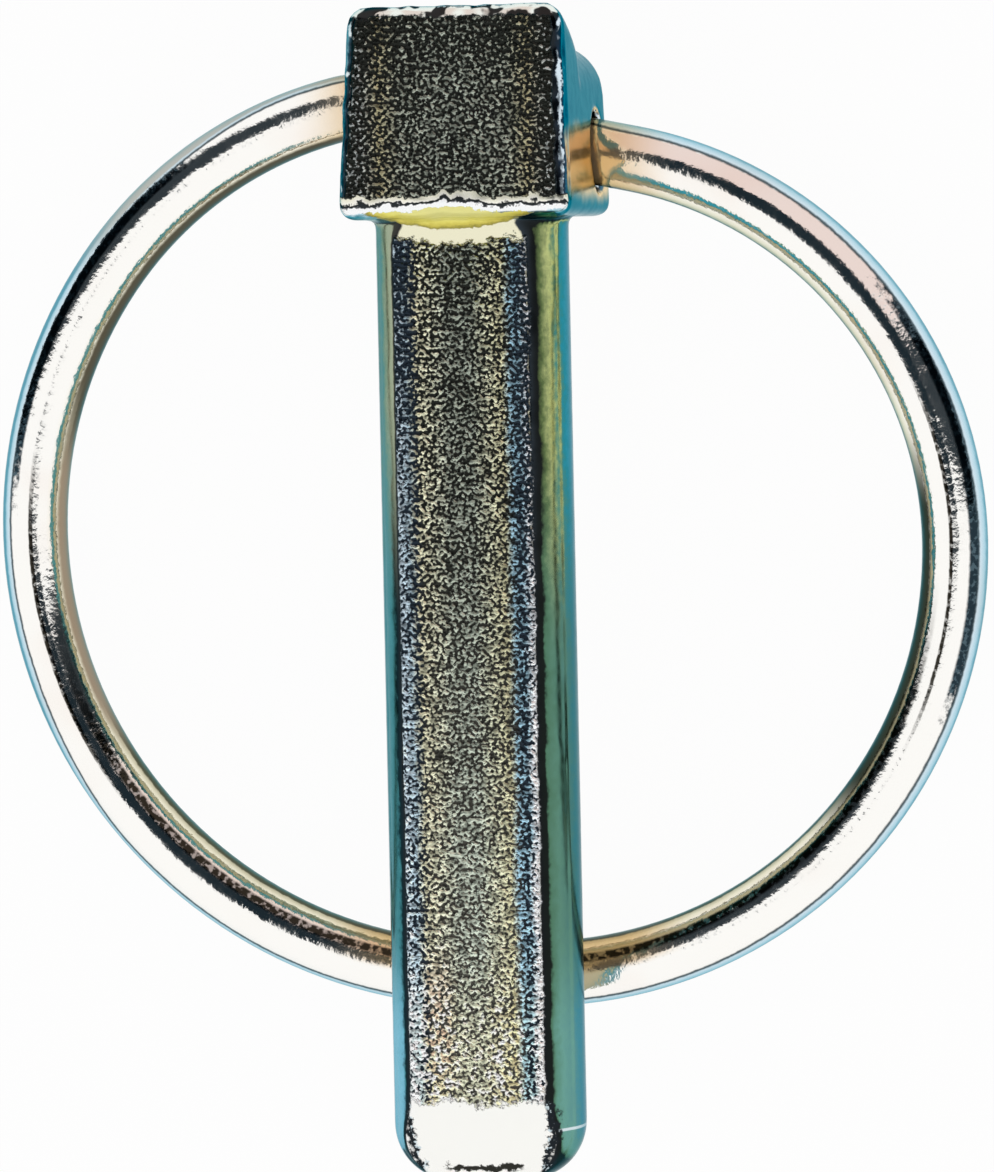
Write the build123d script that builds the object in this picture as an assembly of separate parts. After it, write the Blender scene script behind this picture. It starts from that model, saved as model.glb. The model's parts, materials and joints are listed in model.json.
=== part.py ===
from build123d import *

import os
from math import acos, asin, atan2, cos, degrees, radians, sin, tan

# Lynch pin: a forged pin with a block head, and a spring-wire ring that swings on its two ends in the head.
# Frame, in millimetres: the origin is on the shank's axis, in the plane of the seat under the head.
# +Y runs along the axis to the head, +X is to the right, and +Z is up as the pin lies on its back,
# so the shank's flat and the head's front face look up.

# Shank
shank_diameter = 11.0
shank_length = 54.9
flat_offset = 3.85
flat_edge_radius = 0.5
flat_root_radius = 2.0
flat_root_rise = 0.9
nose_radius = 3.3
bevel_length = 4.6
bevel_depth = 1.65

# Head: a tall brow in front, which carries the front face, and a lower lug behind it with the cross hole
head_height = 12.2
head_front = 5.7
seat_width = 13.1
top_width = 11.9
brow_depth = 6.5
brow_drop = 2.3
brow_top_radius = 16.0
brow_edge_radius = 1.1
lug_height = 10.0
lug_edge_radius = 3.0
head_edge_radius = 0.8

# Cross hole, on whose axis the ring swings. It slopes down from left to right.
hinge_tilt = 11.8
hinge_height = 5.0
hinge_setback = 6.2
hole_clearance = 0.4

# Ring: one bent wire, named as seen from the front. Its near side is at the head, its far side behind the shank.
wire_diameter = 3.8
near_right_radius = 22.8
far_right_radius = 24.9
far_left_radius = 26.0
left_joint_angle = 144.0
far_run = 3.2
end_bend_radius = 3.0
end_lead = 1.0
stub_length = 4.0
ring_clearance = 0.85

# How far a cutting shape runs past what it cuts
overrun = 2.0

shank_radius = shank_diameter / 2
wire_radius = wire_diameter / 2
hole_radius = wire_radius + hole_clearance

# Closed, the wire lies just behind the shank. The head reaches back as far, so that the part lies level.
wire_setback = shank_radius + ring_clearance + wire_radius
head_back = wire_setback + wire_radius

tilt = radians(hinge_tilt)
hinge_point = Vector(0, hinge_height, -hinge_setback)
hinge_axis = Axis(hinge_point, (cos(tilt), -sin(tilt), 0))


def head_width(height):
    """Width of the drafted head at a height above the seat."""
    return seat_width + (top_width - seat_width) * height / head_height


def drafted_block(height, rear, front):
    """Block with the head's drafted sides, from the seat up to a height."""
    low, high = seat_width / 2, head_width(height) / 2
    outline = Polyline((-low, 0), (low, 0), (high, height), (-high, height), close=True)
    return extrude(Plane.XY.offset(rear) * make_face(outline), front - rear)


def brow():
    """Front of the head, whose top curves down to the lug."""
    rear = head_front - brow_depth
    front_top = (head_height, head_front)
    rear_top = (head_height - brow_drop, rear)
    crown = RadiusArc(front_top, rear_top, brow_top_radius)
    rest = Polyline(rear_top, (-overrun, rear), (-overrun, head_front + overrun))
    rest += Polyline(rest @ 1, (head_height, head_front + overrun), front_top)
    side = make_face(Plane.YZ * (crown + rest))
    block = drafted_block(head_height, rear, head_front)
    block &= extrude(side, seat_width / 2 + overrun, both=True)
    crown_edges = block.faces().sort_by(Axis.Y)[-1].edges().filter_by(Axis.X, reverse=True)
    return fillet(crown_edges, brow_edge_radius)


def lug():
    """Rear of the head, lower and rounded over along its top."""
    block = drafted_block(lug_height, -head_back, head_front - brow_depth / 2)
    top_edges = block.faces().sort_by(Axis.Y)[-1].edges().filter_by(Axis.Z)
    return fillet(top_edges, lug_edge_radius)


def head():
    """Brow and lug in one, with softened edges and the cross hole."""
    block = brow() + lug()
    faces = block.faces()
    rims = (faces.sort_by(Axis.Z)[-1], faces.sort_by(Axis.Z)[0], faces.sort_by(Axis.Y)[0])
    edges = ShapeList(edge for face in rims for edge in face.edges())
    block = fillet(edges, head_edge_radius)
    reach = seat_width + overrun
    hole = Plane(hinge_point, x_dir=(0, 0, 1), z_dir=hinge_axis.direction) * Cylinder(hole_radius, reach)
    return block - hole


def shank():
    """Round shank with its flat, which curves out under the head and has a bevel at the tip."""
    bar = extrude(Plane.XZ * Circle(shank_radius), shank_length)
    bar = fillet(bar.edges().sort_by(Axis.Y)[0], nose_radius)
    bevel_start = bevel_length - shank_length
    past = -shank_length - overrun
    past_depth = flat_offset - bevel_depth * (bevel_length + overrun) / bevel_length
    ahead = shank_radius + overrun
    root_turn = acos(1 - flat_root_rise / flat_root_radius)
    root_end = -flat_root_radius * sin(root_turn)
    root_centre = (root_end, flat_offset + flat_root_radius)
    root = CenterArc(root_centre, flat_root_radius, degrees(root_turn) - 90, -degrees(root_turn))
    outline = root + Polyline(
        root @ 1,
        (bevel_start, flat_offset),
        (past, past_depth),
        (past, ahead),
        (0, ahead),
        root @ 0,
    )
    bar -= extrude(Plane.YZ * make_face(outline), shank_diameter, both=True)
    long_edges = bar.edges().filter_by(Axis.Y).group_by(Axis.Z)[-1]
    return fillet(long_edges, flat_edge_radius)


def pin():
    """The forging: head and shank in one."""
    return head() + shank()


def spring_ring():
    """The wire's path is drawn level with the hinge axis, then swung back until the wire clears the shank."""
    along = Vector(cos(tilt), -sin(tilt))
    across = Vector(sin(tilt), cos(tilt))
    centre_line = Vector(0, hinge_height)

    near_right_x = far_run / 2 + far_right_radius - near_right_radius
    middle = hinge_height - near_right_x * tan(tilt) - near_right_radius / cos(tilt)
    near_right = Vector(near_right_x, middle)
    far_right = Vector(far_run / 2, middle)
    far_level = middle - far_right_radius
    far_left = Vector(-far_run / 2, far_level + far_left_radius)

    mouth = head_width(hinge_height) / 2
    bend_end = centre_line - along * ((mouth + end_lead) / cos(tilt))
    bend = bend_end - across * end_bend_radius

    # The near left arc meets the far left arc at the joint angle, and the bend inside it.
    joint = Vector(cos(radians(left_joint_angle)), sin(radians(left_joint_angle)))
    span = far_left + joint * far_left_radius - bend
    near_left_radius = (span.dot(span) - end_bend_radius**2) / (2 * (span.dot(joint) - end_bend_radius))
    near_left = far_left + joint * (far_left_radius - near_left_radius)
    to_bend = bend - near_left
    bend_angle = degrees(atan2(to_bend.Y, to_bend.X))

    lead_angle = 90 - hinge_tilt
    stub_start = (mouth - stub_length) / cos(tilt)
    path = Wire(
        [
            Line(centre_line + along * stub_start, near_right + across * near_right_radius),
            CenterArc(near_right, near_right_radius, lead_angle, -lead_angle),
            CenterArc(far_right, far_right_radius, 0, -90),
            Line((far_right.X, far_level), (far_left.X, far_level)),
            CenterArc(far_left, far_left_radius, 270, left_joint_angle - 270),
            CenterArc(near_left, near_left_radius, left_joint_angle, bend_angle - left_joint_angle),
            CenterArc(bend, end_bend_radius, bend_angle, lead_angle - bend_angle),
            Line(bend_end, centre_line - along * stub_start),
        ]
    )
    section = Plane(path @ 0, z_dir=path % 0) * Circle(wire_radius)
    ring = Pos(0, 0, -hinge_setback) * sweep(section, path)

    far_reach = (hinge_height - far_level) * cos(tilt)
    swing_back = degrees(asin((wire_setback - hinge_setback) / far_reach))
    return ring.rotate(hinge_axis, swing_back)


os.makedirs("parts", exist_ok=True)
export_step(pin(), "parts/pin.step")
export_step(spring_ring(), "parts/spring_ring.step")
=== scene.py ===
import json
from collections import namedtuple
from math import asin, atan2, cos, pi, radians, sin, sqrt, tan

import bpy
from bpy.props import FloatProperty, FloatVectorProperty, IntProperty, PointerProperty
from mathutils import Matrix, Vector


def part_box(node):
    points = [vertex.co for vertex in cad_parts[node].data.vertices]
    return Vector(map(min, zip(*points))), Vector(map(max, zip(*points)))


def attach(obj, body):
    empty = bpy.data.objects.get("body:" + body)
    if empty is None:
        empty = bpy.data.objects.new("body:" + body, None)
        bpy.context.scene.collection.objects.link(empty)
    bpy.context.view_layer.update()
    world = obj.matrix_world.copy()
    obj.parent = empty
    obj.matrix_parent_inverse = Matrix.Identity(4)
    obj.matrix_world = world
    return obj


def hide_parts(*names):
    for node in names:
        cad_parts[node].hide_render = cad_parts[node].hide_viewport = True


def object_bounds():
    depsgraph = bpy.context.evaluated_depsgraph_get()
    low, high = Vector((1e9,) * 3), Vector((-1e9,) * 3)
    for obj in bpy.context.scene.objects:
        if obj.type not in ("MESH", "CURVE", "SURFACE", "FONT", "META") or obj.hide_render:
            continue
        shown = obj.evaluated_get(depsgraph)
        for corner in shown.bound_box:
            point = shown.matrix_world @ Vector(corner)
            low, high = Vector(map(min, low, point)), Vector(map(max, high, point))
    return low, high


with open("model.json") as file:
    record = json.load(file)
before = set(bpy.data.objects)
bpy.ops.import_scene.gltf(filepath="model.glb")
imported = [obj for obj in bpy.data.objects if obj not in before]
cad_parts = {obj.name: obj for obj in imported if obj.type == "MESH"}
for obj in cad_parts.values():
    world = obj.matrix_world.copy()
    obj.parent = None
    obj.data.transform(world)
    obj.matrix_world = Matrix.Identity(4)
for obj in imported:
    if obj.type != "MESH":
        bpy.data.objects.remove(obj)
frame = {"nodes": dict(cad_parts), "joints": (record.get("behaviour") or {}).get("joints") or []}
cad_box = [list(corner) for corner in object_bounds()]

bl_info = {
    "name": "Lynch Pin",
    "version": (1, 0, 0),
    "blender": (4, 5, 0),
    "location": "View3D > Sidebar > Lynch Pin",
    "description": "Dresses the lynch pin: the plated forging, the spring-wire ring and a plain stage",
    "category": "Object",
}

HINGE = frame["joints"][0]
WHITE = (1.0, 1.0, 1.0)

# Points closer than this are welded into one.
WELD = 1e-6

# A bend in the wire is made in steps of this angle, and in no fewer than this many.
BEND_STEP = radians(2.0)
FEWEST_BEND_STEPS = 4

# The hammer's waves lie where the skin looks up this far.
STRUCK_TILT = 0.35

# The nicks lie above this height and this far up, where the skin doesn't look straight up.
RIM_HEIGHT = -0.0004
RIM_LEVEL = 0.0044
RIM_TILT = 0.985

# How soft the edges of the openings in the studio's ceiling are, and how dark its gaps are
OPENING_SOFTNESS = 0.05
GAP_DARKNESS = 0.98


def length(name, description, default, precision=4):
    """Property for a length in metres."""
    return FloatProperty(
        name=name, description=description, default=default, unit="LENGTH", precision=precision
    )


def angle(name, description, default):
    """Property for an angle, whose default is given in degrees."""
    return FloatProperty(name=name, description=description, default=radians(default), unit="ROTATION")


def colour(name, description, default):
    """Property for a colour."""
    return FloatVectorProperty(
        name=name, description=description, default=default, subtype="COLOR", size=3, min=0.0, max=1.0
    )


class PinSettings(bpy.types.PropertyGroup):
    """The forging's skin and plating."""

    skin_step: length("Skin step", "Size of the skin's faces", 0.0002, 5)
    edge_softening: IntProperty(
        name="Edge softening",
        description="How many times the forging's edges are smoothed",
        default=6,
    )
    forging_wave: length("Forging wave", "Height of the slow waves that the hammer leaves", 0.00009, 5)
    forging_wave_length: length("Forging wave length", "Distance between the slow waves", 0.0032)
    rim_nick: length("Rim nick", "Height of the small nicks along the edges of the head's front", 0.0002, 5)
    rim_nick_length: length("Rim nick length", "Distance between the small nicks", 0.0011)
    grain_size: length("Grain size", "Size of the grain on the struck faces", 0.00021, 5)
    grain_height: length("Grain height", "Height of the grain on the struck faces", 0.0002, 5)
    seat_left_lean: length("Seat left lean", "How far the front's lower left corner stands out", 0.00052, 5)
    seat_right_lean: length(
        "Seat right lean", "How far the front's lower right corner stands out", -0.00013, 5
    )
    top_left_lean: length("Top left lean", "How far the front's upper left corner stands out", 0.00024, 5)
    top_right_lean: length("Top right lean", "How far the front's upper right corner stands out", 0.0005, 5)
    # Painted olive-brown so that the wire's inside shows it as a painted reflection
    back_colour: colour("Back colour", "Colour of the plating underneath", (0.46, 0.42, 0.28))


class RingSettings(bpy.types.PropertyGroup):
    """The ring's bends, as its wire is drawn flat before it is hung in the head."""

    wire_diameter: length("Wire diameter", "Thickness of the spring wire", 0.0038)
    near_right_radius: length("Near right radius", "Bend on the right, next to the head", 0.0228)
    far_right_radius: length("Far right radius", "Bend on the right, next to the shank's tip", 0.0249)
    far_left_radius: length("Far left radius", "Bend on the left, next to the shank's tip", 0.0260)
    left_joint_angle: angle("Left joint angle", "Where the two bends on the left meet", 144.0)
    far_run: length("Far run", "Straight stretch behind the shank", 0.0032)
    end_bend_radius: length("End bend radius", "Sharp bend into the left of the cross hole", 0.003)
    end_lead: length("End lead", "Straight stretch outside the left of the cross hole", 0.001)
    hole_half_length: length(
        "Hole half length", "From the middle of the cross hole to its mouth, across the head", 0.006304, 6
    )
    stub_length: length("Stub length", "How far each end goes into the cross hole", 0.004)
    wire_drop: length(
        "Wire drop", "How far the closed wire's far run lies below the shank's axis", 0.00825, 5
    )
    wire_sides: IntProperty(name="Wire sides", description="Faces around the wire", default=48)
    wire_colour: colour("Wire colour", "Colour of the plating on the wire", (0.97, 0.955, 0.92))
    # Darker and warmer colour where the wire faces down
    back_colour: colour("Back colour", "Colour of the plating underneath", (0.60, 0.56, 0.44))


class StageSettings(bpy.types.PropertyGroup):
    """Floor, studio light and camera."""

    floor_width: length("Floor width", "Width of the floor", 1.2)
    floor_middle: length("Floor middle", "Where the floor's middle lies along the part", -0.02)
    floor_colour: colour("Floor colour", "Colour of the floor", (0.95, 0.95, 0.95))
    floor_glow: FloatProperty(
        name="Floor glow",
        description="How much of the floor looks white whatever shadow falls on it",
        default=0.96,
    )
    studio_light: FloatProperty(
        name="Studio light",
        description="Strength of the white studio around the part",
        default=1.0,
    )
    camera_distance: length("Camera distance", "From the camera to what it looks at", 0.45)
    camera_target: FloatVectorProperty(
        name="Camera target",
        description="What the camera looks at",
        default=(0.001, -0.02097, 0.0),
        size=3,
        unit="LENGTH",
        precision=5,
    )
    camera_side: angle("Camera side angle", "How far the camera stands to the right", 9.7)
    camera_head: angle("Camera head angle", "How far the camera stands towards the head", 2.5)
    camera_roll: angle("Camera roll", "Turn of the camera about its view", -1.2)
    camera_clearance: length("Camera clearance", "Nearest that the camera sees", 0.01)
    lens: FloatProperty(
        name="Lens",
        description="Focal length of the camera, in millimetres",
        default=242.4,
        subtype="DISTANCE_CAMERA",
    )


def start_alone():
    """Object mode with nothing selected."""
    if bpy.context.mode != "OBJECT":
        bpy.ops.object.mode_set(mode="OBJECT")
    bpy.ops.object.select_all(action="DESELECT")


def make_active(piece):
    start_alone()
    piece.select_set(True)
    bpy.context.view_layer.objects.active = piece


def apply_modifier(piece, kind, **settings):
    """Adds one modifier and applies it."""
    make_active(piece)
    modifier = piece.modifiers.new(kind.lower(), kind)
    for setting, value in settings.items():
        setattr(modifier, setting, value)
    bpy.ops.object.modifier_apply(modifier=modifier.name)


def group(piece, name, belongs):
    """Groups the points of a piece that pass a test."""
    points = [point.index for point in piece.data.vertices if belongs(point)]
    piece.vertex_groups.new(name=name).add(points, 1.0, "REPLACE")


def give_material(piece, material):
    piece.data.materials.clear()
    piece.data.materials.append(material)


# Places on the forging, on its own axes
FLAT_WIDTH = 0.010
FLAT_LENGTH = 0.050
SEAM = -0.0518

# The edges of the head's front. The left one slopes.
FRONT_LEFT = -0.00707
FRONT_LEFT_SLOPE = 0.072
FRONT_RIGHT = 0.00642
FRONT_TOP = 0.0122
EDGE_WIDTH = 0.001
SEAT_EDGE_WIDTH = 0.002

# The seat's rim rises in the middle.
RIM_RISE_MIDDLE = -0.0002
RIM_RISE = 0.00026
RIM_BUMP = 0.00022

# The painted yellow reflection under the head, a bowed lens, and the root of the flat below it, which slopes
# to the sides
LENS_MIDDLE = -0.00035
LENS_BOW = 39.0
ROOT_SLOPE = 0.13

# The painted gold reflection of the ring beside the cross hole: its middle and its narrowness, up the head
# and in depth
SHEEN_MIDDLE = (0.0031, -0.0040)
SHEEN_NARROWNESS = (2.2, 0.40)

# The glints' size, in grains
GLINT_SIZE = 2.3

# How far the painted glints' cover swings along the left margin, and how much brighter the painted gold sheen
# is next to the head
MARGIN_SWING = 0.25
GOLD_GAIN = 0.55

# How the painted reflections, highlights and glints run over the plating. Each table gives the colours at
# places from 0 to 1.

# Painted glints across the shank's flat, from left to right, in stripes of painted reflection
SHANK_SPARKLE = (
    (0.10, (0.74, 0.88, 0.98)),
    (0.17, (0.42, 0.56, 0.64)),
    (0.22, (0.76, 0.74, 0.52)),
    (0.30, (0.70, 0.71, 0.53)),
    (0.40, (0.47, 0.52, 0.43)),
    (0.54, (0.48, 0.54, 0.45)),
    (0.63, (0.67, 0.69, 0.50)),
    (0.72, (0.62, 0.60, 0.38)),
    (0.765, (0.30, 0.50, 0.62)),
    (0.82, (0.36, 0.58, 0.70)),
    (0.86, (0.92, 0.96, 1.00)),
)

# Painted glints across the head's front, from its middle to either side
HEAD_SPARKLE = (
    (0.00, (0.46, 0.51, 0.43)),
    (0.45, (0.48, 0.52, 0.43)),
    (0.72, (0.56, 0.51, 0.30)),
    (0.90, (0.56, 0.60, 0.58)),
)

# Painted reflections inwards from the edges of the head's front. Three of them have a painted white highlight
# line: its two sides, how it is broken and its colour. The grain begins inside it.
FrontEdge = namedtuple("FrontEdge", "shades fray rise fall breaks white grain")
LEFT_EDGE = FrontEdge(
    shades=(
        (0.05, (0.16, 0.34, 0.40)),
        (0.26, (0.22, 0.38, 0.44)),
        (0.42, (0.03, 0.07, 0.10)),
        (0.60, (0.02, 0.025, 0.03)),
    ),
    fray=0.0006,
    rise=(0.00030, 0.00038),
    fall=(0.00062, 0.00052),
    breaks=(0.60, 0.66),
    white=(0.80, 0.88, 0.90),
    grain=(0.00050, 0.00064),
)
RIGHT_EDGE = FrontEdge(
    shades=(
        (0.05, (0.03, 0.15, 0.24)),
        (0.20, (0.012, 0.03, 0.06)),
        (0.60, (0.02, 0.025, 0.03)),
    ),
    fray=0.0005,
    rise=(0.00022, 0.00028),
    fall=(0.00046, 0.00039),
    breaks=(0.40, 0.48),
    white=(0.72, 0.84, 0.92),
    grain=(0.00060, 0.00074),
)
TOP_EDGE = FrontEdge(
    shades=(
        (0.02, (0.16, 0.30, 0.36)),
        (0.14, (0.36, 0.44, 0.46)),
        (0.22, (0.03, 0.03, 0.03)),
    ),
    fray=0.0010,
    rise=(0.00016, 0.00024),
    fall=(0.00086, 0.00070),
    breaks=(0.44, 0.50),
    white=(0.88, 0.92, 0.86),
    grain=(0.00080, 0.00096),
)
SEAT_EDGE = (
    (0.00, (0.10, 0.30, 0.36)),
    (0.10, (0.18, 0.40, 0.48)),
    (0.18, (0.50, 0.70, 0.78)),
    (0.21, (0.92, 0.94, 0.95)),
    (0.32, (0.94, 0.94, 0.94)),
    (0.35, (0.03, 0.035, 0.04)),
    (0.42, (0.02, 0.025, 0.025)),
    (0.445, (0.90, 0.88, 0.80)),
    (0.56, (0.86, 0.84, 0.68)),
    (0.60, (0.03, 0.03, 0.025)),
)

# Painted reflections around the shank beside its flat, from facing left to facing right, next to the head and
# further down
HIGH_SIDES = (
    (0.00, (0.10, 0.28, 0.28)),
    (0.05, (0.12, 0.31, 0.28)),
    (0.075, (0.26, 0.36, 0.24)),
    (0.10, (0.40, 0.46, 0.32)),
    (0.15, (0.36, 0.40, 0.28)),
    (0.17, (0.05, 0.05, 0.04)),
    (0.34, (0.03, 0.03, 0.03)),
    (0.40, (0.84, 0.81, 0.60)),
    (0.56, (0.84, 0.81, 0.60)),
    (0.60, (0.03, 0.04, 0.05)),
    (0.88, (0.012, 0.014, 0.014)),
    (0.905, (0.11, 0.16, 0.06)),
    (0.92, (0.28, 0.33, 0.14)),
    (0.94, (0.55, 0.60, 0.24)),
    (0.955, (0.25, 0.38, 0.20)),
    (0.968, (0.08, 0.26, 0.21)),
    (0.986, (0.03, 0.28, 0.35)),
    (1.00, (0.045, 0.32, 0.43)),
)
LOW_SIDES = (
    (0.00, (0.08, 0.27, 0.30)),
    (0.045, (0.11, 0.33, 0.36)),
    (0.09, (0.07, 0.25, 0.28)),
    (0.11, (0.012, 0.02, 0.025)),
    (0.22, (0.02, 0.025, 0.03)),
    (0.29, (0.92, 0.92, 0.90)),
    (0.58, (0.94, 0.935, 0.89)),
    (0.64, (0.012, 0.014, 0.016)),
    (0.878, (0.012, 0.016, 0.014)),
    (0.895, (0.08, 0.19, 0.12)),
    (0.935, (0.11, 0.255, 0.19)),
    (0.965, (0.095, 0.225, 0.185)),
    (1.00, (0.055, 0.21, 0.24)),
)

# Up the painted yellow reflection, a lens at the root of the shank's flat
LENS = (
    (0.00, (0.34, 0.29, 0.04)),
    (0.12, (0.74, 0.63, 0.10)),
    (0.45, (0.94, 0.84, 0.17)),
    (1.00, (0.94, 0.88, 0.32)),
)

# Painted reflections across the wire, from the ring's inside to its top, and from there to its outside
WIRE_INSIDE = (
    (0.00, (0.12, 0.14, 0.10)),
    (0.014, (0.09, 0.09, 0.05)),
    (0.03, (0.10, 0.09, 0.05)),
    (0.042, (0.58, 0.54, 0.38)),
    (0.085, (0.84, 0.80, 0.62)),
    (0.15, (0.94, 0.91, 0.80)),
)
WIRE_TOP = (0.24, 0.865)
WIRE_OUTSIDE = (
    (0.885, (0.08, 0.10, 0.11)),
    (0.90, (0.10, 0.14, 0.16)),
    (0.92, (0.66, 0.80, 0.88)),
    (0.97, (0.50, 0.72, 0.82)),
    (1.00, (0.16, 0.38, 0.48)),
)

# How densely the painted glints lie along the left margin of the shank's flat, from the head down
LEFT_MARGIN_COVER = ((0.10, 0.36), (0.27, 0.84), (0.44, 0.80), (0.61, 0.86), (0.78, 0.60), (0.93, 1.00))

# Painted reflections along the ring: the azimuth of each, how close it keeps to it, where it lies across the
# wire and its colour
RING_REFLECTIONS = (
    (-14.0, (0.86, 0.95), (-0.56, -0.70), (0.035, 0.040, 0.026)),
    (184.0, (0.90, 0.97), (-0.76, -0.90), (0.34, 0.27, 0.19)),
    (134.0, (0.80, 0.93), (-0.74, -0.86), (0.10, 0.085, 0.055)),
    (112.0, (0.80, 0.93), (0.82, 0.90), (0.50, 0.50, 0.46)),
)

# Painted dark reflection lines along the ring: the azimuth of each, how close it keeps to it, and its two
# edges across the wire
RING_LINES = (
    (-90.0, (0.05, 0.45), (-0.62, -0.54), (-0.26, -0.38)),
    (-2.0, (0.90, 0.97), (-0.04, 0.00), (0.11, 0.07)),
    (190.0, (0.91, 0.98), (-0.13, -0.09), (0.04, 0.00)),
)


class Nodes:
    """A node tree, cleared, with short ways to fill it."""

    def __init__(self, tree):
        self.tree = tree
        self.tree.nodes.clear()

    def add(self, kind, **settings):
        node = self.tree.nodes.new(kind)
        for setting, value in settings.items():
            setattr(node, setting, value)
        return node

    def join(self, source, target):
        self.tree.links.new(source, target)

    def put(self, socket, value):
        """Sets a socket, or links it where the value is another socket."""
        if isinstance(value, bpy.types.NodeSocket):
            self.join(value, socket)
        else:
            socket.default_value = value

    def sum(self, operation, first, second=0.0, third=0.0, clamp=False):
        node = self.add("ShaderNodeMath", operation=operation, use_clamp=clamp)
        for socket, value in zip(node.inputs, (first, second, third)):
            self.put(socket, value)
        return node.outputs[0]

    def times(self, first, *others):
        """The product of some values. Of masks, it is where all of them hold."""
        for other in others:
            first = self.sum("MULTIPLY", first, other)
        return first

    def most(self, first, *others):
        """The highest of some values. Of masks, it is where any of them holds."""
        for other in others:
            first = self.sum("MAXIMUM", first, other)
        return first

    def least(self, first, *others):
        for other in others:
            first = self.sum("MINIMUM", first, other)
        return first

    def moved(self, value, by, amount):
        """A value, moved by an amount of another."""
        return self.sum("MULTIPLY_ADD", by, amount, value)

    def band(self, value, low, high, out_low=0.0, out_high=1.0):
        """Eases from one value to another as the input goes from low to high."""
        node = self.add("ShaderNodeMapRange", interpolation_type="SMOOTHSTEP")
        self.put(node.inputs["Value"], value)
        node.inputs["From Min"].default_value = low
        node.inputs["From Max"].default_value = high
        node.inputs["To Min"].default_value = out_low
        node.inputs["To Max"].default_value = out_high
        return node.outputs["Result"]

    def within(self, value, rise, fall):
        """1 between two edges, each given by where it is 0 and where it is 1."""
        return self.times(self.band(value, *rise), self.band(value, *fall))

    def ramp(self, value, stops):
        """A colour for each place along a value from 0 to 1."""
        node = self.add("ShaderNodeValToRGB")
        elements = node.color_ramp.elements
        while len(elements) < len(stops):
            elements.new(1.0)
        for element, (place, colour) in zip(elements, stops):
            element.position = place
            element.color = (*colour, 1.0)
        self.put(node.inputs["Fac"], value)
        return node.outputs["Color"]

    def mix(self, factor, first, second, blend="MIX", clamp=False):
        """A colour between two others."""
        node = self.add("ShaderNodeMix", data_type="RGBA", blend_type=blend, clamp_result=clamp)
        self.put(node.inputs[0], factor)
        for socket, value in ((node.inputs[6], first), (node.inputs[7], second)):
            if not isinstance(value, bpy.types.NodeSocket):
                value = (*value, 1.0)
            self.put(socket, value)
        return node.outputs[2]

    def lit(self, factor, colour, light):
        """A colour, multiplied by a light where the factor is 1, and no brighter than white there."""
        return self.mix(factor, colour, self.mix(1.0, colour, light, "MULTIPLY", clamp=True))

    def blend(self, factor, first, second):
        """A number between two others."""
        node = self.add("ShaderNodeMix", data_type="FLOAT")
        sockets = node.inputs[0], node.inputs[2], node.inputs[3]
        for socket, value in zip(sockets, (factor, first, second)):
            self.put(socket, value)
        return node.outputs[0]

    def vector(self, operation, first, second=(0.0, 0.0, 0.0)):
        """A sum with vectors, which gives a vector or a number."""
        node = self.add("ShaderNodeVectorMath", operation=operation)
        self.put(node.inputs[0], first)
        self.put(node.inputs[1], second)
        return node.outputs["Value" if operation in ("DISTANCE", "DOT_PRODUCT", "LENGTH") else "Vector"]

    def length(self, first, second):
        """The length of a flat vector, from its two parts."""
        node = self.add("ShaderNodeCombineXYZ")
        self.join(first, node.inputs[0])
        self.join(second, node.inputs[1])
        return self.vector("LENGTH", node.outputs[0])

    def split(self, vector):
        node = self.add("ShaderNodeSeparateXYZ")
        self.join(vector, node.inputs[0])
        return node.outputs


class Finish(Nodes):
    """A new material."""

    def __init__(self, name):
        self.material = bpy.data.materials.new(name)
        self.material.use_nodes = True
        super().__init__(self.material.node_tree)
        self.output = self.add("ShaderNodeOutputMaterial")
        self.shader = self.add("ShaderNodeBsdfPrincipled")
        self.join(self.shader.outputs["BSDF"], self.output.inputs["Surface"])

    def give(self, name, value):
        """Sets or links one of the surface's inputs."""
        self.put(self.shader.inputs[name], value)


class Plating(Finish):
    """A finish that goes by the piece's own places, with noise that frays the edges of its marks."""

    def __init__(self, name, tooth_size, sway_size, sway_detail, sway_share):
        super().__init__(name)
        places = self.add("ShaderNodeTexCoord")
        self.place = places.outputs["Object"]
        self.normal = places.outputs["Normal"]
        self.x, self.y, self.z = self.split(self.place)
        self.right, _, self.up = self.split(self.normal)
        self.from_middle = self.sum("ABSOLUTE", self.x)
        self.teeth = self.sum("SUBTRACT", self.noise(tooth_size, detail=3.0, roughness=0.65), 0.5)
        self.sway = self.sum("SUBTRACT", self.noise(sway_size, sway_detail), 0.5)
        self.wander = self.moved(self.teeth, self.sway, sway_share)

    def noise(self, size, detail=2.0, roughness=0.5):
        node = self.add("ShaderNodeTexNoise")
        self.join(self.place, node.inputs["Vector"])
        node.inputs["Scale"].default_value = 1.0 / size
        node.inputs["Detail"].default_value = detail
        node.inputs["Roughness"].default_value = roughness
        return node.outputs["Fac"]

    def frayed(self, value, amount):
        """A value that wanders to either side."""
        return self.moved(value, self.wander, amount)

    def bump(self, height, distance, onto=None):
        node = self.add("ShaderNodeBump")
        node.inputs["Strength"].default_value = 1.0
        node.inputs["Distance"].default_value = distance
        self.join(height, node.inputs["Height"])
        if onto is not None:
            self.join(onto, node.inputs["Normal"])
        return node.outputs["Normal"]


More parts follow.
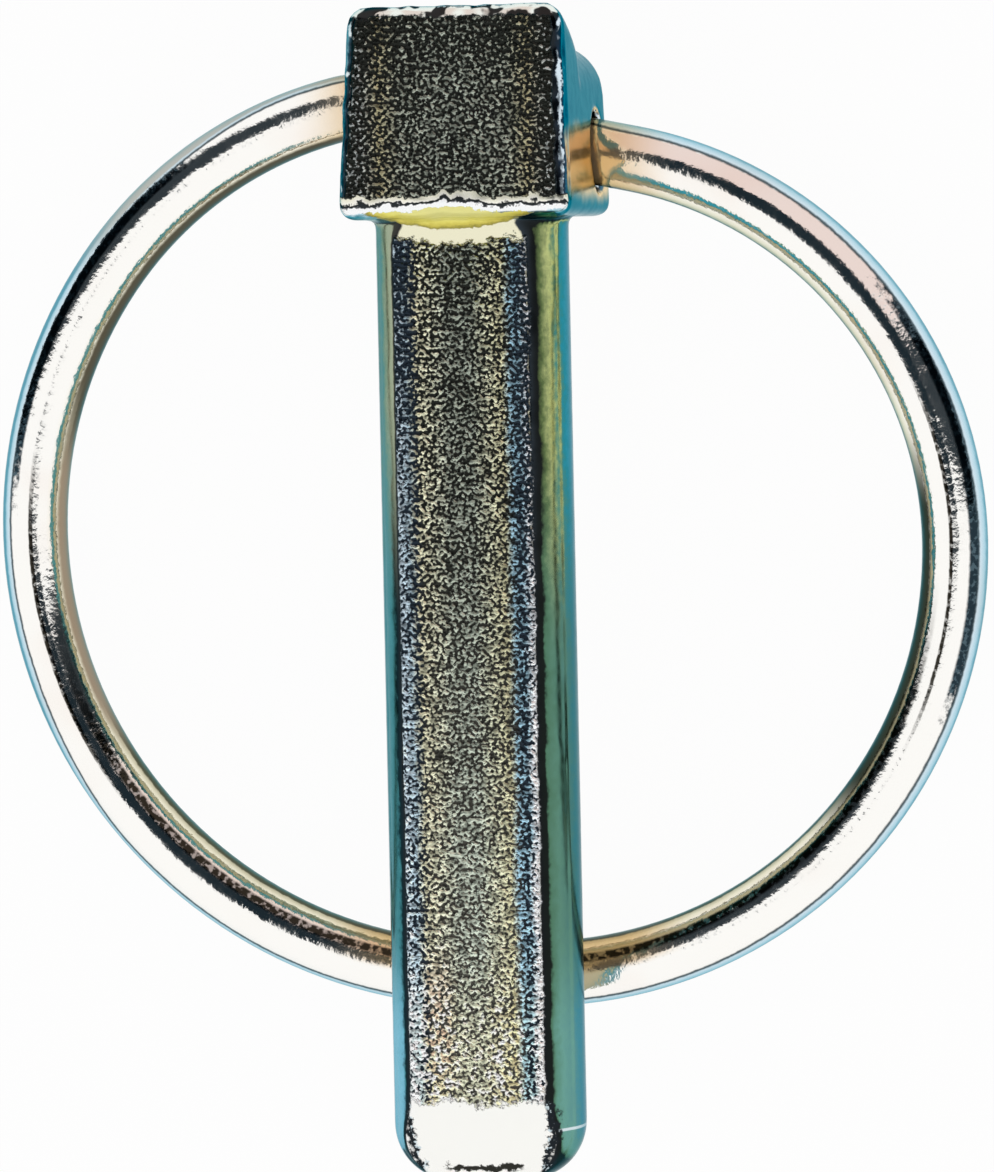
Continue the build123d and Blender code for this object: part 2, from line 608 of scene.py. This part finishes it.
def sparkle_cover(finish, on_head):
    """How much denser than usual the painted glints lie on the struck faces."""
    x, y, from_middle = finish.x, finish.y, finish.from_middle
    head_sides = finish.band(from_middle, 0.0040, 0.0060, -0.03, -0.10)
    head_top = finish.band(y, 0.0065, 0.0115, 0.0, -0.07)
    head = finish.sum("ADD", head_sides, head_top)

    towards_tip = finish.band(y, -0.050, -0.004, 0.042, -0.015)
    margins = finish.band(from_middle, 0.0025, 0.0031, 0.0, -0.06)
    shank = finish.sum("ADD", towards_tip, margins)
    down_the_flat = finish.sum("MULTIPLY", y, -1.0 / FLAT_LENGTH)
    left_margin = finish.ramp(down_the_flat, [(place, (level,) * 3) for place, level in LEFT_MARGIN_COVER])
    left_margin = finish.sum("MULTIPLY_ADD", left_margin, MARGIN_SWING, -MARGIN_SWING / 2)
    left_margin = finish.times(left_margin, finish.band(x, -0.0029, -0.0033))
    # A painted white highlight line of denser glints along the flat's right side
    white_line = finish.times(finish.band(x, 0.0032, 0.0035), finish.band(y, -0.014, -0.024, 0.0, 0.13))
    shank = finish.sum("ADD", shank, finish.sum("ADD", left_margin, white_line))

    patches = finish.band(finish.noise(0.0035), 0.3, 0.7, -0.025, 0.025)
    return finish.sum("ADD", finish.blend(on_head, shank, head), patches)


def sparkle_colour(finish, settings, on_head):
    """Colour of the painted glints: stripes of painted reflection in gold, grey and blue along the shank, a
    rosy painted reflection near the tip, painted light that brightens them towards the tip, and a painted
    gold sheen near the head.
    """
    x, y, from_middle = finish.x, finish.y, finish.from_middle
    across = finish.sum("MULTIPLY_ADD", finish.frayed(x, 0.0007), 1.0 / FLAT_WIDTH, 0.5, clamp=True)
    shank = finish.ramp(across, SHANK_SPARKLE)
    rosy = finish.within(x, (-0.0032, -0.0027), (-0.0012, -0.0020))
    rosy = finish.times(rosy, finish.within(y, (-0.0495, -0.0470), (-0.041, -0.0445)))
    shank = finish.mix(rosy, shank, (0.80, 0.66, 0.53))
    head = finish.ramp(finish.band(from_middle, 0.0, 0.0066), HEAD_SPARKLE)
    colour = finish.mix(on_head, shank, head)

    # Painted light: brighter towards the tip, with a painted gold sheen near the head and painted glints
    bright = finish.blend(on_head, finish.band(y, -0.052, -0.002, 1.25, 0.66), 0.72)
    gold = finish.within(from_middle, (0.0009, 0.0014), (0.0030, 0.0026))
    gold = finish.times(gold, finish.band(y, -0.028, -0.004))
    gold = finish.blend(on_head, gold, 0.0)
    glints = finish.noise(settings.grain_size * GLINT_SIZE, detail=1.5)
    gain = finish.sum("MULTIPLY_ADD", gold, GOLD_GAIN, 1.0)
    bright = finish.times(bright, gain, finish.band(glints, 0.32, 0.68, 0.5, 1.4))
    colour = finish.mix(1.0, colour, bright, "MULTIPLY")
    return finish.lit(finish.band(y, -0.041, -0.047), colour, (1.50, 1.38, 1.22))


def grain_and_sparkle(finish, settings, on_head):
    """Colour and relief of the struck faces: painted pale glints on a painted black reflection, over the
    grain.
    """
    grain = finish.noise(settings.grain_size, detail=0.7)
    sparkles = finish.band(finish.sum("ADD", grain, sparkle_cover(finish, on_head)), 0.46, 0.57)
    # Painted dark reflection under the glints, darker next to the head and bluer at the flat's margins
    down = finish.band(finish.y, -0.010, -0.052)
    dark_reflection = finish.mix(down, (0.020, 0.022, 0.019), (0.080, 0.078, 0.066))
    margin = finish.blend(on_head, finish.band(finish.from_middle, 0.0024, 0.0030), 0.0)
    dark_reflection = finish.mix(margin, dark_reflection, (0.020, 0.030, 0.042))
    return finish.mix(sparkles, dark_reflection, sparkle_colour(finish, settings, on_head)), grain


def front_edge(finish, from_edge, patches, edge):
    """One edge of the head's front: how far away it is, its painted reflection and broken painted highlight
    line, and where the grain begins inside it.
    """
    from_edge = finish.frayed(from_edge, edge.fray)
    shade = finish.ramp(finish.sum("MULTIPLY", from_edge, 1.0 / EDGE_WIDTH), edge.shades)
    line = finish.times(finish.within(from_edge, edge.rise, edge.fall), finish.band(patches, *edge.breaks))
    return from_edge, finish.mix(line, shade, edge.white), finish.band(from_edge, *edge.grain)


def head_front(finish):
    """The head's front edges: their broken painted white highlight lines on painted black reflection, and
    where the grain begins inside them.
    """
    x, y = finish.x, finish.y
    patches = finish.noise(0.0013)
    from_left = finish.sum("SUBTRACT", finish.moved(x, y, -FRONT_LEFT_SLOPE), FRONT_LEFT)
    _, left, inside_left = front_edge(finish, from_left, patches, LEFT_EDGE)
    from_right = finish.sum("SUBTRACT", FRONT_RIGHT, x)
    _, right, inside_right = front_edge(finish, from_right, patches, RIGHT_EDGE)
    from_top = finish.sum("SUBTRACT", FRONT_TOP, y)
    from_top, top, inside_top = front_edge(finish, from_top, patches, TOP_EDGE)

    off_middle = finish.sum("ABSOLUTE", finish.sum("SUBTRACT", x, RIM_RISE_MIDDLE))
    rise = finish.band(off_middle, 0.0026, 0.0002, 0.0, RIM_RISE)
    bumps = finish.sum("ADD", rise, finish.band(patches, 0.50, 0.70, 0.0, RIM_BUMP))
    from_seat = finish.frayed(finish.sum("SUBTRACT", y, bumps), 0.0007)
    seat = finish.ramp(finish.sum("MULTIPLY", from_seat, 1.0 / SEAT_EDGE_WIDTH), SEAT_EDGE)
    inside_seat = finish.band(from_seat, 0.00114, 0.00124)

    edge = finish.mix(finish.band(x, -0.0005, 0.0005), left, right)
    edge = finish.mix(finish.band(from_top, 0.0012, 0.0010), edge, top)
    edge = finish.mix(finish.band(from_seat, 0.00130, 0.00122), edge, seat)
    return edge, finish.least(inside_left, inside_right, inside_top, inside_seat), from_seat


def shank_sides(finish):
    """Colour of the shank beside its flat: painted blue-green reflection with a painted yellow highlight
    stripe that ends part of the way down, painted light near the tip and a thin painted highlight line across
    it.
    """
    y, right = finish.y, finish.right
    on_right = finish.band(finish.x, -0.001, 0.001)
    turn = finish.sum("MULTIPLY_ADD", finish.frayed(right, 0.10), 0.5, 0.5)
    high = finish.ramp(turn, HIGH_SIDES)
    low = finish.ramp(turn, LOW_SIDES)
    beside = finish.band(finish.sum("ABSOLUTE", right), 0.78, 0.82)
    near_tip = finish.times(finish.band(y, -0.040, -0.047), beside)
    tip_light = finish.mix(on_right, (3.1, 2.1, 2.4), (1.35, 1.4, 1.6))
    low = finish.lit(near_tip, low, tip_light)
    down = finish.band(finish.moved(y, on_right, 0.0028), -0.009, -0.023)
    colour = finish.mix(down, high, low)

    # A thin painted highlight line across the side near the tip
    seam_highlight = finish.band(finish.sum("ABSOLUTE", finish.sum("SUBTRACT", y, SEAM)), 0.00011, 0.00005)
    seam_highlight = finish.times(seam_highlight, finish.band(right, 0.62, 0.72))
    return finish.mix(seam_highlight, colour, (0.70, 0.80, 0.84))


def bevel_reflections(finish, colour):
    """The bevel's painted black reflection border with its painted pale glints, and the painted dark line
    along its tip, over a colour.
    """
    y, up, from_middle = finish.y, finish.up, finish.from_middle
    below_seam = finish.band(y, SEAM, -0.0545)
    from_bevel = finish.frayed(finish.moved(from_middle, below_seam, 0.0005), 0.0016)
    border = finish.times(
        finish.band(from_bevel, 0.0037, 0.0039),
        finish.band(y, -0.0499, -0.0504),
        finish.band(up, 0.30, 0.45),
    )
    specks = finish.band(finish.noise(0.0003, detail=1.0), 0.52, 0.58)
    specks = finish.times(specks, finish.band(from_bevel, 0.0041, 0.0039))
    dark = finish.mix(specks, (0.016, 0.020, 0.024), (0.60, 0.70, 0.74))
    dark = finish.mix(finish.band(from_bevel, 0.0042, 0.0045), dark, colour)
    colour = finish.mix(border, colour, dark)

    lip = finish.times(
        finish.within(finish.frayed(y, 0.0010), (-0.05418, -0.05404), (-0.05368, -0.05380)),
        finish.band(finish.frayed(from_middle, 0.0030), 0.0024, 0.0020),
        finish.band(up, 0.35, 0.45),
    )
    return finish.mix(lip, colour, (0.03, 0.03, 0.025))


def head_sides(finish):
    """Colour of the head's sides, a painted blue-green reflection, and where gold is painted: a reflection of
    the ring beside the hole, and light in the hole.
    """
    hinge, axis = HINGE["pos_m"], HINGE["axis"]
    y, z, sway = finish.y, finish.z, finish.sway
    from_sheen = finish.length(*(
        finish.sum("MULTIPLY", finish.sum("SUBTRACT", place, middle), narrowness)
        for place, middle, narrowness in zip((y, z), SHEEN_MIDDLE, SHEEN_NARROWNESS)
    ))
    # Painted gold reflection of the ring beside the hole
    beside = finish.band(finish.moved(from_sheen, sway, 0.002), 0.0058, 0.0034)
    beside = finish.times(beside, finish.band(finish.right, 0.80, 0.97))
    # Painted light in the dark bore, around the hole's axis
    above_axis = finish.moved(finish.sum("SUBTRACT", y, hinge[1]), finish.x, -axis[1] / axis[0])
    from_axis = finish.length(above_axis, finish.sum("SUBTRACT", z, hinge[2]))
    gold_sheen = finish.most(beside, finish.band(from_axis, 0.0027, 0.0025))
    # The sides' painted blue-green reflection
    colour = finish.mix(finish.band(sway, -0.16, 0.16), (0.036, 0.20, 0.29), (0.046, 0.22, 0.30))
    return finish.mix(gold_sheen, colour, (0.82, 0.70, 0.48)), gold_sheen


def shank_struck(finish):
    """Where the shank has its grain: on the flat, from its root to the bevel."""
    y, from_middle = finish.y, finish.from_middle
    from_root = finish.moved(finish.frayed(y, 0.0014), from_middle, -ROOT_SLOPE)
    return finish.times(
        finish.band(from_root, -0.0014, -0.0017),
        finish.band(finish.frayed(y, 0.0016), -0.0504, -0.0500),
        finish.band(finish.frayed(finish.up, 0.12), 0.80, 0.88),
        finish.band(finish.frayed(finish.x, 0.0006), 0.00386, 0.00372),
    )


def plated_forging(settings):
    """Zinc plate on the forging: painted glints on a painted dark reflection where it was struck, smooth with
    painted blue-green reflections down the sides.
    """
    finish = Plating("plated_forging", tooth_size=0.0005, sway_size=0.0022, sway_detail=1.0, sway_share=0.6)
    x, y, z, up = finish.x, finish.y, finish.z, finish.up
    on_head = finish.band(y, -0.0002, 0.0002)
    edge, inside_edges, from_seat = head_front(finish)
    head_side, gold_sheen = head_sides(finish)
    head = finish.mix(finish.band(up, 0.10, 0.30), head_side, edge)
    smooth = finish.mix(on_head, bevel_reflections(finish, shank_sides(finish)), head)

    # The painted yellow reflection under the head, less metallic so that the studio lights it
    bow = finish.sum("POWER", finish.sum("SUBTRACT", x, LENS_MIDDLE), 2.0)
    sag = finish.frayed(finish.moved(y, bow, -LENS_BOW), 0.0004)
    lens = finish.times(
        finish.band(sag, -0.00062, -0.00054),
        finish.band(z, 0.0034, 0.0040),
        finish.band(from_seat, 0.00042, 0.00036),
    )
    smooth = finish.mix(lens, smooth, finish.ramp(finish.band(sag, -0.0006, 0.0003), LENS))
    # Underneath, the forging is painted olive-brown so that the wire's inside shows it as a painted
    # reflection
    smooth = finish.mix(finish.band(up, -0.20, -0.50), smooth, settings.back_colour)

    head_struck = finish.times(inside_edges, finish.band(up, 0.86, 0.92))
    struck = finish.blend(on_head, shank_struck(finish), head_struck)
    struck_sparkle, grain = grain_and_sparkle(finish, settings, on_head)
    finish.give("Base Color", finish.mix(struck, smooth, struck_sparkle))
    finish.give("Metallic", finish.band(lens, 0.0, 1.0, 1.0, 0.15))
    grazing = finish.mix(on_head, (0.46, 0.60, 0.64), (0.15, 0.48, 0.56))
    # Where gold is painted beside and in the hole, the grazing gloss is gold too
    grazing = finish.mix(finish.times(gold_sheen, on_head), grazing, (0.92, 0.80, 0.60))
    finish.give("Specular Tint", grazing)
    gloss = finish.band(finish.noise(0.0008, detail=3.0), 0.3, 0.7, 0.14, 0.22)
    finish.give("Roughness", finish.moved(gloss, struck, 0.10))
    finish.give("Normal", finish.bump(finish.times(grain, struck), settings.grain_height))
    return finish.material


def plated_wire(settings, centre):
    """Zinc plate on drawn wire: white and glossy, with painted reflections: blue along the ring's outside,
    olive along its inside.
    """
    finish = Plating("plated_wire", tooth_size=0.0004, sway_size=0.004, sway_detail=2.0, sway_share=0.8)
    outward = finish.vector("NORMALIZE", finish.vector("SUBTRACT", finish.place, centre))

    def towards(azimuth):
        """How close a place on the ring is to an azimuth, 1 where it is there."""
        way = (cos(radians(azimuth)), sin(radians(azimuth)), 0.0)
        return finish.vector("DOT_PRODUCT", outward, way)

    facing = finish.frayed(finish.vector("DOT_PRODUCT", outward, finish.normal), 0.05)
    # The painted reflection bands lie further out on the upper left
    upper_left = finish.band(towards(165.0), 0.60, 0.88)
    wider = finish.times(finish.band(facing, 0.05, 0.40, 0.0, 0.18), upper_left)
    across = finish.sum("ADD", facing, wider)
    top = tuple((place, settings.wire_colour) for place in WIRE_TOP)
    shade = finish.ramp(finish.sum("MULTIPLY_ADD", across, 0.5, 0.5), WIRE_INSIDE + top + WIRE_OUTSIDE)

    frost = finish.noise(0.0003)
    # Navy painted reflection bands on the right and upper left, broken by fine noise
    navy_right = finish.band(finish.moved(towards(6.0), finish.teeth, 0.12), 0.88, 0.92)
    navy_left = finish.band(finish.moved(towards(150.0), finish.teeth, 0.12), 0.91, 0.95)
    navy = finish.times(
        finish.most(navy_right, navy_left), finish.within(across, (0.52, 0.60), (0.82, 0.76))
    )
    navy_reflection = finish.mix(finish.band(frost, 0.50, 0.62), (0.020, 0.036, 0.048), (0.075, 0.12, 0.145))
    shade = finish.mix(navy, shade, navy_reflection)
    for azimuth, near, edge, colour in RING_REFLECTIONS:
        reflected_tint = finish.times(finish.band(towards(azimuth), *near), finish.band(across, *edge))
        shade = finish.mix(reflected_tint, shade, colour)
    lines = finish.most(*(
        finish.times(finish.within(across, rise, fall), finish.band(towards(azimuth), *near))
        for azimuth, near, rise, fall in RING_LINES
    ))
    lines = finish.times(lines, finish.band(finish.noise(0.00035), 0.36, 0.50, 0.55, 1.0))
    shade = finish.mix(lines, shade, (0.035, 0.032, 0.024))
    # Darker and warmer where the wire faces down
    shade = finish.mix(finish.band(finish.up, -0.1, -0.5), shade, settings.back_colour)

    cast = finish.band(finish.noise(0.009), 0.5, 0.75, 0.0, 0.5)
    shade = finish.mix(cast, shade, (0.95, 0.84, 0.78), "MULTIPLY")
    # Painted warm reflection of the pin on the wire next to it, where the wire is also less metallic
    warm = finish.most(finish.band(finish.y, -0.020, -0.005), finish.band(facing, 0.10, -0.20))
    pin_reflection = finish.times(finish.band(finish.from_middle, 0.0115, 0.0068), warm)
    finish.give("Base Color", finish.mix(pin_reflection, shade, (0.92, 0.70, 0.44), "MULTIPLY"))
    finish.give("Metallic", finish.band(pin_reflection, 0.0, 1.0, 1.0, 0.76))
    finish.give("Specular Tint", (0.46, 0.68, 0.74, 1.0))
    finish.give("Roughness", finish.band(finish.noise(0.0012, detail=3.0), 0.3, 0.7, 0.07, 0.13))
    drawn = finish.bump(finish.noise(0.0016), 0.00004)
    finish.give("Normal", finish.bump(frost, 0.000016, onto=drawn))
    return finish.material


def pale_floor(settings):
    """White paper, which looks white to the camera and in the part's gloss, and takes a faint shadow."""
    finish = Finish("pale_floor")
    finish.give("Base Color", (*settings.floor_colour, 1.0))
    finish.give("Roughness", 1.0)
    finish.give("Specular IOR Level", 0.0)
    glow = finish.add("ShaderNodeEmission")
    glow.inputs["Color"].default_value = (*WHITE, 1.0)
    glow.inputs["Strength"].default_value = 1.0
    path = finish.add("ShaderNodeLightPath").outputs
    seen = finish.most(path["Is Camera Ray"], path["Is Glossy Ray"], path["Is Transmission Ray"])
    blend = finish.add("ShaderNodeMixShader")
    finish.join(finish.times(seen, settings.floor_glow), blend.inputs[0])
    finish.join(finish.shader.outputs["BSDF"], blend.inputs[1])
    finish.join(glow.outputs["Emission"], blend.inputs[2])
    finish.join(blend.outputs[0], finish.output.inputs["Surface"])
    return finish.material


class LYNCHPIN_OT_pin(bpy.types.Operator):
    """Skin the forging: soft edges, a lean to the head's front, hammer waves and plating"""

    bl_idname = "lynch_pin.pin"
    bl_label = "Dress the pin"

    def lean(self, skin, settings):
        """Leans the head's front with a cage whose rear corners stay put."""
        low, high = (Vector(corner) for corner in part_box("pin"))
        low.y = 0.0
        start_alone()
        bpy.ops.object.add(type="LATTICE", location=(low + high) / 2)
        cage = bpy.context.object
        cage.scale = high - low
        moves = {
            (-1, -1): -settings.seat_left_lean,
            (1, -1): settings.seat_right_lean,
            (-1, 1): -settings.top_left_lean,
            (1, 1): settings.top_right_lean,
        }
        for point in cage.data.points:
            side, height, depth = (1 if place > 0 else -1 for place in point.co)
            if depth > 0:
                point.co_deform.x += moves[side, height] / cage.scale.x
        apply_modifier(skin, "LATTICE", object=cage, vertex_group="head")
        bpy.data.objects.remove(cage)

    def dent(self, skin, name, belongs, height, level, size, depth):
        """Moves some of the skin's points in and out by cloudy noise. A high level moves them mostly in."""
        group(skin, name, belongs)
        clouds = bpy.data.textures.new(name, "CLOUDS")
        clouds.noise_scale = size
        clouds.noise_depth = depth
        apply_modifier(
            skin,
            "DISPLACE",
            texture=clouds,
            texture_coords="LOCAL",
            strength=height,
            mid_level=level,
            vertex_group=name,
        )

    def execute(self, context):
        settings = context.scene.lynch_pin
        start_alone()
        skin = bpy.data.objects.new("pin_forging", frame["nodes"]["pin"].data.copy())
        context.scene.collection.objects.link(skin)
        make_active(skin)
        bpy.ops.object.mode_set(mode="EDIT")
        bpy.ops.mesh.select_all(action="SELECT")
        bpy.ops.mesh.remove_doubles(threshold=WELD)
        bpy.ops.object.mode_set(mode="OBJECT")
        apply_modifier(skin, "REMESH", mode="VOXEL", voxel_size=settings.skin_step, use_smooth_shade=True)
        apply_modifier(skin, "SMOOTH", factor=0.5, iterations=settings.edge_softening)

        def in_front(point):
            return point.normal.z > STRUCK_TILT

        def on_rim(point):
            along_front = point.co.y > RIM_HEIGHT and point.co.z > RIM_LEVEL
            return along_front and point.normal.z < RIM_TILT

        group(skin, "head", lambda point: point.co.y > 0.0)
        self.lean(skin, settings)
        wave, nick = settings.forging_wave_length, settings.rim_nick_length
        self.dent(skin, "hammer_waves", in_front, settings.forging_wave, level=0.95, size=wave, depth=2)
        self.dent(skin, "rim_nicks", on_rim, settings.rim_nick, level=0.85, size=nick, depth=1)
        apply_modifier(skin, "SMOOTH", factor=0.5, iterations=2)
        skin.vertex_groups.clear()
        make_active(skin)
        bpy.ops.object.shade_smooth()
        give_material(skin, plated_forging(settings))
        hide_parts("pin")
        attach(skin, "pin")
        return {"FINISHED"}


class LYNCHPIN_OT_ring(bpy.types.Operator):
    """Bend the wire flat, bend by bend, and hang it in the head's cross hole"""

    bl_idname = "lynch_pin.ring"
    bl_label = "Bend the ring"

    def spin(self, centre, turn):
        """Carries the wire's open end round a bend, clockwise where the turn is negative."""
        steps = max(FEWEST_BEND_STEPS, round(abs(turn) / BEND_STEP))
        bpy.ops.mesh.spin(steps=steps, angle=-turn, center=(centre.x, centre.y, 0.0), axis=(0.0, 0.0, 1.0))

    def run(self, start, end):
        """Carries the wire's open end along a straight stretch."""
        step = end - start
        bpy.ops.mesh.extrude_region_move(TRANSFORM_OT_translate={"value": (step.x, step.y, 0.0)})

    def execute(self, context):
        settings = context.scene.lynch_ring
        hinge = Vector(HINGE["pos_m"])
        axis = Vector(HINGE["axis"])
        tilt = atan2(-axis.y, axis.x)
        along = Vector((cos(tilt), -sin(tilt)))
        across = Vector((sin(tilt), cos(tilt)))
        centre_line = Vector((0.0, hinge.y))

        near_right_radius = settings.near_right_radius
        far_right_radius = settings.far_right_radius
        far_left_radius = settings.far_left_radius
        near_right_x = settings.far_run / 2 + far_right_radius - near_right_radius
        middle = hinge.y - near_right_x * tan(tilt) - near_right_radius / cos(tilt)
        near_right = Vector((near_right_x, middle))
        far_right = Vector((settings.far_run / 2, middle))
        far_level = middle - far_right_radius
        far_left = Vector((-settings.far_run / 2, far_level + far_left_radius))

        mouth = settings.hole_half_length
        bend_end = centre_line - along * ((mouth + settings.end_lead) / cos(tilt))
        bend = bend_end - across * settings.end_bend_radius

        # The near left arc meets the far left arc at the joint angle, and the bend inside it.
        joint_angle = settings.left_joint_angle
        joint = Vector((cos(joint_angle), sin(joint_angle)))
        span = far_left + joint * far_left_radius - bend
        room = 2 * (span.dot(joint) - settings.end_bend_radius)
        near_left_radius = (span.dot(span) - settings.end_bend_radius**2) / room
        near_left = far_left + joint * (far_left_radius - near_left_radius)
        to_bend = bend - near_left
        bend_angle = atan2(to_bend.y, to_bend.x)

        lead_angle = pi / 2 - tilt
        stub_start = (mouth - settings.stub_length) / cos(tilt)
        first = centre_line + along * stub_start
        last = centre_line - along * stub_start

        start_alone()
        towards = Vector((*along, 0.0)).to_track_quat("Z", "Y").to_euler()
        bpy.ops.mesh.primitive_circle_add(
            vertices=settings.wire_sides,
            radius=settings.wire_diameter / 2,
            location=(first.x, first.y, 0.0),
            rotation=towards,
        )
        ring = context.object
        ring.name = "ring_wire"
        ring.data.name = "ring_wire"
        bpy.ops.object.transform_apply(location=True, rotation=True, scale=True)
        bpy.ops.object.mode_set(mode="EDIT")
        bpy.ops.mesh.select_all(action="SELECT")
        self.run(first, near_right + across * near_right_radius)
        self.spin(near_right, -lead_angle)
        self.spin(far_right, -pi / 2)
        self.run(Vector((far_right.x, far_level)), Vector((far_left.x, far_level)))
        self.spin(far_left, joint_angle - 3 * pi / 2)
        self.spin(near_left, bend_angle - joint_angle)
        self.spin(bend, lead_angle - bend_angle)
        self.run(bend_end, last)

        bpy.ops.mesh.select_all(action="SELECT")
        bpy.ops.mesh.remove_doubles(threshold=WELD)
        bpy.ops.mesh.select_all(action="SELECT")
        bpy.ops.mesh.fill_holes(sides=0)
        bpy.ops.mesh.select_all(action="SELECT")
        bpy.ops.mesh.normals_make_consistent(inside=False)
        bpy.ops.object.mode_set(mode="OBJECT")

        far_reach = (hinge.y - far_level) * cos(tilt)
        swing_back = asin((settings.wire_drop + hinge.z) / far_reach)
        hang = Matrix.Translation(hinge) @ Matrix.Rotation(swing_back, 4, axis) @ Matrix.Translation(-hinge)
        ring.matrix_world = hang @ Matrix.Translation((0.0, 0.0, hinge.z))
        bpy.ops.object.transform_apply(location=True, rotation=True, scale=True)
        bpy.ops.object.shade_smooth()
        give_material(ring, plated_wire(settings, (0.0, middle, hinge.z)))
        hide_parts("spring_ring")
        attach(ring, "spring_ring")
        return {"FINISHED"}


class LYNCHPIN_OT_stage(bpy.types.Operator):
    """Lay the floor, light the studio and set the camera"""

    bl_idname = "lynch_pin.stage"
    bl_label = "Set the stage"

    def floor(self, settings):
        """A white sheet at the level of the part's lowest point."""
        start_alone()
        level = cad_box[0][2]
        bpy.ops.mesh.primitive_plane_add(
            size=settings.floor_width, location=(0.0, settings.floor_middle, level)
        )
        floor = bpy.context.object
        floor.name = "floor"
        bpy.ops.object.transform_apply(location=True, rotation=True, scale=True)
        give_material(floor, pale_floor(settings))

    def hole(self, room, way, middle, width):
        """A round dark opening in the ceiling, around the direction that has this level part."""
        to_right, to_head = middle
        overhead = sqrt(1.0 - to_right**2 - to_head**2)
        away = room.vector("DISTANCE", way, (to_right, to_head, overhead))
        return room.band(away, width, width - OPENING_SOFTNESS)

    def studio(self, scene, settings):
        """A white room with dark openings overhead, two dark gaps between its panels and one rosy panel."""
        world = bpy.data.worlds.new("studio")
        world.use_nodes = True
        scene.world = world
        room = Nodes(world.node_tree)
        output = room.add("ShaderNodeOutputWorld")
        background = room.add("ShaderNodeBackground")
        background.inputs["Strength"].default_value = settings.studio_light
        room.join(background.outputs[0], output.inputs["Surface"])
        way = room.add("ShaderNodeTexCoord").outputs["Generated"]
        x, y, z = room.split(way)
        azimuth = room.sum("DEGREES", room.sum("ARCTAN2", y, x))

        near_opening = room.times(self.hole(room, way, (0.10, 0.03), 0.28), room.band(y, -0.15, -0.10))
        far_opening = self.hole(room, way, (0.10, 0.28), 0.30)
        right_gap = room.band(room.sum("ABSOLUTE", room.sum("SUBTRACT", azimuth, 16.0)), 16.0, 14.0)
        left_gap = room.times(room.within(y, (0.09, 0.14), (0.66, 0.58)), room.band(x, -0.20, -0.28))
        above_floor = room.band(z, -0.02, 0.02)
        gaps = room.times(room.most(right_gap, left_gap), above_floor, GAP_DARKNESS)
        rosy = room.within(azimuth, (28.0, 38.0), (112.0, 96.0))
        wall = room.mix(rosy, WHITE, (0.84, 0.71, 0.68))
        wall = room.mix(room.most(gaps, near_opening, far_opening), wall, (0.012, 0.022, 0.030))
        seen = room.add("ShaderNodeLightPath").outputs["Is Camera Ray"]
        room.join(room.mix(seen, wall, WHITE), background.inputs["Color"])

    def camera(self, scene, settings):
        """Looks at the part from the front, a little from the right and from the head."""
        side, head, roll = settings.camera_side, settings.camera_head, settings.camera_roll
        back = Vector((sin(side) * cos(head), sin(head), cos(side) * cos(head)))
        right = Vector((cos(side), 0.0, -sin(side)))
        up = back.cross(right)
        rolled_right = right * cos(roll) + up * sin(roll)
        rolled_up = up * cos(roll) - right * sin(roll)
        lens = bpy.data.cameras.new("camera")
        lens.lens = settings.lens
        lens.clip_start = settings.camera_clearance
        camera = bpy.data.objects.new("camera", lens)
        scene.collection.objects.link(camera)
        turn = Matrix((rolled_right, rolled_up, back)).transposed().to_4x4()
        place = Vector(settings.camera_target) + back * settings.camera_distance
        camera.matrix_world = Matrix.Translation(place) @ turn
        scene.camera = camera

    def execute(self, context):
        settings = context.scene.lynch_stage
        context.scene.view_settings.view_transform = "Standard"
        self.floor(settings)
        self.studio(context.scene, settings)
        self.camera(context.scene, settings)
        return {"FINISHED"}


class LYNCHPIN_PT_panel(bpy.types.Panel):
    """Lists the lynch pin's pieces and their settings"""

    bl_idname = "LYNCHPIN_PT_panel"
    bl_label = "Lynch Pin"
    bl_space_type = "VIEW_3D"
    bl_region_type = "UI"
    bl_category = "Lynch Pin"

    def draw(self, context):
        scene = context.scene
        for operator, settings in (
            (LYNCHPIN_OT_pin, scene.lynch_pin),
            (LYNCHPIN_OT_ring, scene.lynch_ring),
            (LYNCHPIN_OT_stage, scene.lynch_stage),
        ):
            box = self.layout.box()
            box.operator(operator.bl_idname)
            for name in settings.__annotations__:
                box.prop(settings, name)


CLASSES = (
    PinSettings,
    RingSettings,
    StageSettings,
    LYNCHPIN_OT_pin,
    LYNCHPIN_OT_ring,
    LYNCHPIN_OT_stage,
    LYNCHPIN_PT_panel,
)


def register():
    for item in CLASSES:
        bpy.utils.register_class(item)
    bpy.types.Scene.lynch_pin = PointerProperty(type=PinSettings)
    bpy.types.Scene.lynch_ring = PointerProperty(type=RingSettings)
    bpy.types.Scene.lynch_stage = PointerProperty(type=StageSettings)


def unregister():
    del bpy.types.Scene.lynch_stage
    del bpy.types.Scene.lynch_ring
    del bpy.types.Scene.lynch_pin
    for item in reversed(CLASSES):
        bpy.utils.unregister_class(item)


def main():
    register()
    bpy.ops.lynch_pin.pin()
    bpy.ops.lynch_pin.ring()
    bpy.ops.lynch_pin.stage()


if __name__ == "__main__":
    main()
